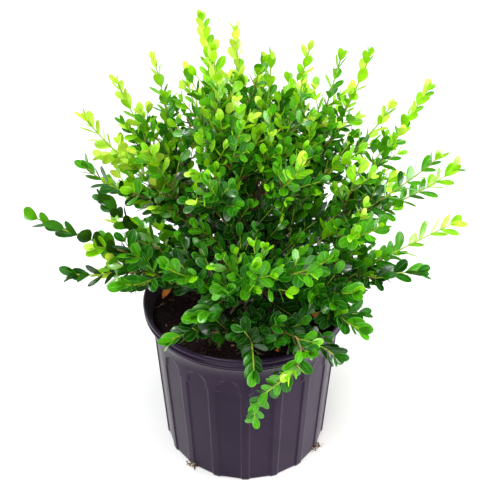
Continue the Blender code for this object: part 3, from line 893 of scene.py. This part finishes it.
def cut_drain(pot, azimuth):
    """Opens a low arched drain hole through the foot of the wall."""
    out = direction(azimuth, 0)
    across = out.cross(UP)
    arch = [(-DRAIN_WIDTH / 2, -0.004), (DRAIN_WIDTH / 2, -0.004)]
    for step in range(9):
        a = math.pi * step / 8
        arch.append((math.cos(a) * DRAIN_WIDTH / 2,
                     DRAIN_HEIGHT - DRAIN_CORNER + math.sin(a) * DRAIN_CORNER))
    near, far = FOOT_RADIUS - 0.007, FOOT_RADIUS + 0.007
    points = [out * r + across * x + UP * z for r in (near, far) for x, z in arch]
    count = len(arch)
    faces = [(i, (i + 1) % count, count + (i + 1) % count, count + i) for i in range(count)]
    faces += [tuple(reversed(range(count))), tuple(range(count, 2 * count))]
    mesh = bpy.data.meshes.new("drain")
    mesh.from_pydata([tuple(p) for p in points], [], faces)
    shape = bmesh.new()
    shape.from_mesh(mesh)
    bmesh.ops.recalc_face_normals(shape, faces=shape.faces)
    shape.to_mesh(mesh)
    shape.free()
    cutter = bpy.data.objects.new("drain", mesh)
    bpy.context.scene.collection.objects.link(cutter)
    cut = pot.modifiers.new("drain", "BOOLEAN")
    cut.operation = "DIFFERENCE"
    cut.solver = "EXACT"
    cut.object = cutter
    graph = bpy.context.evaluated_depsgraph_get()
    opened = bpy.data.meshes.new_from_object(pot.evaluated_get(graph))
    shape = bmesh.new()
    shape.from_mesh(opened)
    bmesh.ops.remove_doubles(shape, verts=shape.verts, dist=0.000004)
    shape.to_mesh(opened)
    shape.free()
    pot.modifiers.clear()
    pot.data = opened
    bpy.data.objects.remove(cutter)


def build_pot():
    plastic, tree, shader = shader_material("pot_plastic", (0.024, 0.011, 0.028), 0.36,
                                            Specular_IOR_Level=0.09, Sheen_Weight=0.12,
                                            Sheen_Roughness=0.4)
    pattern = add_noise(tree, 24)
    tree.links.new(ramp(tree, pattern, ((0.3, (0.013, 0.005, 0.020)), (0.7, (0.021, 0.009, 0.029)))),
                   shader.inputs["Base Color"])
    gloss = tree.nodes.new("ShaderNodeMapRange")
    gloss.inputs["To Min"].default_value = 0.22
    gloss.inputs["To Max"].default_value = 0.40
    tree.links.new(add_noise(tree, 60, 6), gloss.inputs["Value"])
    tree.links.new(gloss.outputs["Result"], shader.inputs["Roughness"])
    add_bump(tree, shader, add_noise(tree, 900, 2), 0.12, 0.0002)

    pitch = 360 / PANEL_COUNT
    offsets = [-10, -9.2, -8.4]
    offsets += [-PANEL_HALF - PANEL_EDGE * (1 - i / 4) for i in range(5)]
    offsets += [-PANEL_HALF + PANEL_HALF * i / 6 for i in range(1, 12)]
    offsets += [PANEL_HALF + PANEL_EDGE * i / 4 for i in range(5)]
    offsets += [8.4, 9.2]
    offsets = sorted({round(o, 3) for o in offsets})
    azimuths = [panel * pitch + pitch / 2 + o for panel in range(PANEL_COUNT) for o in offsets]
    heights = [0, 0.0004, 0.0012, 0.004, 0.012, 0.03, 0.05, 0.07, 0.09, 0.11, 0.126, 0.136, 0.141]
    heights += [0.143 + 0.001 * i for i in range(20)] + [0.1638]
    sides = len(azimuths)
    points = []
    for z in heights:
        for azimuth in azimuths:
            points.append(direction(azimuth, 0) * outer_radius(azimuth, z) + UP * z)
    for z, radius in OUTER_PROFILE:
        for azimuth in azimuths:
            points.append(direction(azimuth, 0) * radius + UP * z)
    for z, radius in ((0.09, None), (FLOOR_Z + 0.004, None), (FLOOR_Z, FLOOR_RADIUS - 0.003),
                      (FLOOR_Z, 0.03)):
        slope = (INNER_SHOULDER_RADIUS - FLOOR_RADIUS) / (INNER_SHOULDER_Z - FLOOR_Z)
        r = radius or FLOOR_RADIUS + (z - FLOOR_Z) * slope
        for azimuth in azimuths:
            points.append(direction(azimuth, 0) * r + UP * z)
    rings = len(points) // sides
    faces = []
    for ring in range(rings - 1):
        for s in range(sides):
            t = (s + 1) % sides
            low, high = ring * sides, (ring + 1) * sides
            faces.append((low + s, low + t, high + t, high + s))
    faces.append(tuple(reversed(range(sides))))
    faces.append(tuple((rings - 1) * sides + s for s in range(sides)))
    pot = make_mesh("pot_can", points, faces, [plastic], None, 50)
    for azimuth in DRAIN_ANGLES:
        cut_drain(pot, azimuth)
    place(pot, "pot_plastic", "pot")


# Soil


def build_soil():
    earth = mottled("potting_mix", (0.004, 0.0012, 0.002), (0.016, 0.005, 0.006), 0.95, 320, 1.0,
                    0.0012, Specular_IOR_Level=0.12)
    first, rings, sides = 4, 46, 150  # the root crown stands over the first ring
    edge = 0.1076
    points = []
    for ring in range(first, rings + 1):
        share = ring / rings
        for s in range(sides):
            azimuth = 360 * s / sides
            flat = direction(azimuth, 0) * edge * share
            lump = noise.fractal(Vector((flat.x * 60, flat.y * 60, 1.7)), 0.9, 2.1, 5)
            crumb = noise.noise(Vector((flat.x * 420, flat.y * 420, 5.1)))
            fade = smooth_step((1 - share) * 14) * smooth_step((flat.length - 0.018) / 0.012)
            z = SOIL_Z - 0.0005 - 0.0020 * share * share
            z += (0.0011 * lump + 0.0007 * crumb) * (0.3 + 0.7 * fade)
            points.append(flat + UP * z)
    for s in range(sides):
        points.append(direction(360 * s / sides, 0) * edge * 0.985 + UP * (SOIL_Z - 0.012))
    faces = [tuple(range(sides))]
    bands = rings + 1 - first
    for ring in range(bands):
        for s in range(sides):
            t = (s + 1) % sides
            low, high = ring * sides, (ring + 1) * sides
            faces.append((low + s, high + s, high + t, low + t))
    faces.append(tuple(bands * sides + s for s in reversed(range(sides))))
    ground = make_mesh("soil_surface", points, faces, [earth], None, 60)
    place(ground, "potting_soil", "soil")


def chip(chance, size, flatness):
    """A rough bark chip: a lopsided eight-cornered lump."""
    corners = []
    for x in (-1, 1):
        for y in (-1, 1):
            for z in (-1, 1):
                corners.append(Vector((x * chance.uniform(0.6, 1.0), y * chance.uniform(0.3, 0.6),
                                       z * flatness * chance.uniform(0.6, 1.0))) * size / 2)
    faces = [(0, 1, 3, 2), (4, 6, 7, 5), (0, 4, 5, 1), (2, 3, 7, 6), (0, 2, 6, 4), (1, 5, 7, 3)]
    return corners, faces


def turned(points, chance, tilt, at):
    spin = chance.uniform(0, 2 * math.pi)
    lean, roll = chance.uniform(-tilt, tilt), chance.uniform(-tilt, tilt)
    made = []
    for p in points:
        p = Vector((p.x, p.y * math.cos(lean) - p.z * math.sin(lean),
                    p.y * math.sin(lean) + p.z * math.cos(lean)))
        p = Vector((p.x * math.cos(roll) + p.z * math.sin(roll), p.y,
                    -p.x * math.sin(roll) + p.z * math.cos(roll)))
        p = Vector((p.x * math.cos(spin) - p.y * math.sin(spin),
                    p.x * math.sin(spin) + p.y * math.cos(spin), p.z))
        made.append(p + at)
    return made


def curled_leaf(at, heading, tilt, length, curl):
    """A dead leaf, curled lengthwise, as a thin closed shell."""
    shape = leaf_points((0, 0, 0), direction(heading, tilt), UP, length, curl, 0.25, 0.2)
    return shape + np.array(at)


def fibre(chance, at, spread, length, thickness):
    """A fine wandering root."""
    heading = chance.uniform(0, 2 * math.pi)
    point = at.copy()
    path = [point.copy()]
    for _ in range(7):
        heading += chance.uniform(-0.7, 0.7)
        step = Vector((math.cos(heading), math.sin(heading), chance.uniform(-0.3, 0.35)))
        point = point + step * length / 7
        point.z = min(max(point.z, at.z - spread), at.z + spread)
        path.append(point.copy())
    return tube(path, taper((thickness, thickness * 0.6), len(path)), 4)


def build_litter():
    """Bark chips, fibres, grit and dead leaves on the soil, and crumbs at the drain holes."""
    skins = [
        mottled("chip_dark", (0.005, 0.002, 0.003), (0.024, 0.009, 0.009), 0.9, 500, 0.6,
                Specular_IOR_Level=0.15),
        mottled("chip_brown", (0.030, 0.011, 0.008), (0.085, 0.032, 0.020), 0.85, 500, 0.6,
                Specular_IOR_Level=0.2),
        mottled("chip_tan", (0.16, 0.075, 0.03), (0.34, 0.19, 0.09), 0.85, 500, 0.5),
        mottled("grit_white", (0.52, 0.50, 0.47), (0.85, 0.84, 0.80), 0.7, 500, 0.4),
        # The dead leaf's own orange-brown, made lighter as painted light because it lies in shade
        # under the crown.
        mottled("dead_leaf", (0.42, 0.090, 0.006), (0.85, 0.270, 0.020), 0.7, 160, 0.4),
        mottled("fine_root", (0.20, 0.13, 0.06), (0.42, 0.32, 0.18), 0.8, 300, 0.3),
    ]
    dark, brown, tan, white, dead, root = range(6)
    chance = random.Random(SEED + 5)
    heap = Heap()

    def soil_level(radius):
        return SOIL_Z - 0.0003 - 0.0020 * (radius / 0.1076) ** 2

    for _ in range(2600):
        radius = 0.1045 * math.sqrt(chance.uniform(0.035, 1))
        spot = direction(chance.uniform(0, 360), 0) * radius
        size = 0.0012 + 0.0058 * chance.random() ** 3
        pick = chance.random()
        mark = dark if pick < 0.80 else brown if pick < 0.975 else tan if pick < 0.996 else white
        if mark == white:
            size = chance.uniform(0.0014, 0.0024)
        points, faces = chip(chance, size, 0.28 if mark < white else 0.8)
        lift = soil_level(radius) + size * 0.05
        heap.add(turned(points, chance, 0.5, spot + UP * lift), faces, mark)
    for _ in range(40):
        radius = 0.100 * math.sqrt(chance.uniform(0.05, 1))
        spot = direction(chance.uniform(0, 360), 0) * radius + UP * (soil_level(radius) + 0.0008)
        heap.add(*fibre(chance, spot, 0.0009, chance.uniform(0.008, 0.022), 0.00022),
                 root if chance.random() < 0.12 else brown)
    for azimuth, radius, heading, tilt, length in DEAD_LEAVES:
        spot = direction(azimuth, 0) * radius + UP * (soil_level(radius) + 0.0014)
        heap.add(curled_leaf(spot, heading, tilt, length, 1.1), LEAF_FACES, dead)
    for azimuth in DRAIN_ANGLES:
        out = direction(azimuth, 0)
        across = out.cross(UP)
        for _ in range(46):
            spot = (out * (FOOT_RADIUS + chance.uniform(-0.0045, 0.004))
                    + across * chance.uniform(-0.0075, 0.0075) + UP * chance.uniform(0.0012, 0.0026))
            points, faces = chip(chance, chance.uniform(0.0010, 0.0030), 0.5)
            mark = chance.choice((dark, brown, brown, tan, tan))
            points = turned(points, chance, 0.9, spot)
            lowest = min(p.z for p in points)
            heap.add([p + UP * max(0, 0.0002 - lowest) for p in points], faces, mark)
        for _ in range(9):
            spot = (out * (FOOT_RADIUS + chance.uniform(0.0, 0.004))
                    + across * chance.uniform(-0.005, 0.005) + UP * 0.0018)
            heap.add(*fibre(chance, spot, 0.0013, chance.uniform(0.004, 0.010), 0.00020), root)
    litter = heap.build("soil_litter", skins, 30)
    place(litter, "potting_soil")


# Camera, light and floor


def build_stage():
    floor_skin = mottled("floor_paper", (0.86, 0.86, 0.87), (0.90, 0.90, 0.90), 0.9, 3)
    mesh = bpy.data.meshes.new("floor")
    half = 4.0
    mesh.from_pydata([(-half, -half, 0), (half, -half, 0), (half, half, 0), (-half, half, 0)], [],
                     [(0, 1, 2, 3)])
    mesh.materials.append(floor_skin)
    floor = bpy.data.objects.new("floor", mesh)
    bpy.context.scene.collection.objects.link(floor)

    camera = bpy.data.objects.new("camera", bpy.data.cameras.new("camera"))
    camera.data.sensor_width = 36
    camera.data.lens = CAMERA_LENS
    camera.data.shift_x = CAMERA_SHIFT_X
    camera.location = CAMERA_AT
    camera.rotation_mode = "QUATERNION"
    camera.rotation_quaternion = (CAMERA_AIM - CAMERA_AT).to_track_quat("-Z", "Y")
    bpy.context.scene.collection.objects.link(camera)
    bpy.context.scene.camera = camera

    def area(name, at, aim, size, watts, colour=(1, 1, 1)):
        lamp = bpy.data.objects.new(name, bpy.data.lights.new(name, "AREA"))
        lamp.data.shape = "DISK"
        lamp.data.size = size
        lamp.data.energy = watts
        lamp.data.color = colour
        lamp.location = at
        lamp.rotation_mode = "QUATERNION"
        lamp.rotation_quaternion = (Vector(aim) - Vector(at)).to_track_quat("-Z", "Y")
        bpy.context.scene.collection.objects.link(lamp)
        return lamp

    area("front", (-0.5, -2.0, 1.5), (0, 0, 0.25), 0.9, 12)
    area("left", (-1.4, 1.5, 0.6), (0, 0, 0.15), 1.0, 10)
    area("right", (1.8, -0.1, 0.6), (0, 0, 0.15), 1.2, 46, (1, 0.98, 0.92))
    glint = area("glint", (-0.8, -1.1, 1.9), (0, 0, 0.3), 0.5, 46)
    glint.visible_diffuse = False
    ceiling = bpy.data.objects.new("ceiling", bpy.data.lights.new("ceiling", "SUN"))
    ceiling.data.energy = 2.75
    ceiling.data.angle = math.radians(60)
    ceiling.rotation_mode = "QUATERNION"
    ceiling.rotation_quaternion = Vector((0.22, 0.25, -1)).to_track_quat("-Z", "Y")
    bpy.context.scene.collection.objects.link(ceiling)

    world = bpy.data.worlds.new("studio")
    world.use_nodes = True
    world.node_tree.nodes["Background"].inputs["Color"].default_value = (1, 1, 1, 1)
    world.node_tree.nodes["Background"].inputs["Strength"].default_value = 0.46
    bpy.context.scene.world = world
    bpy.context.scene.view_settings.view_transform = "Standard"


build_stage()
build_pot()
build_soil()
build_litter()
build_limbs()
leaf_count = grow_crown()
print("leaves:", leaf_count)
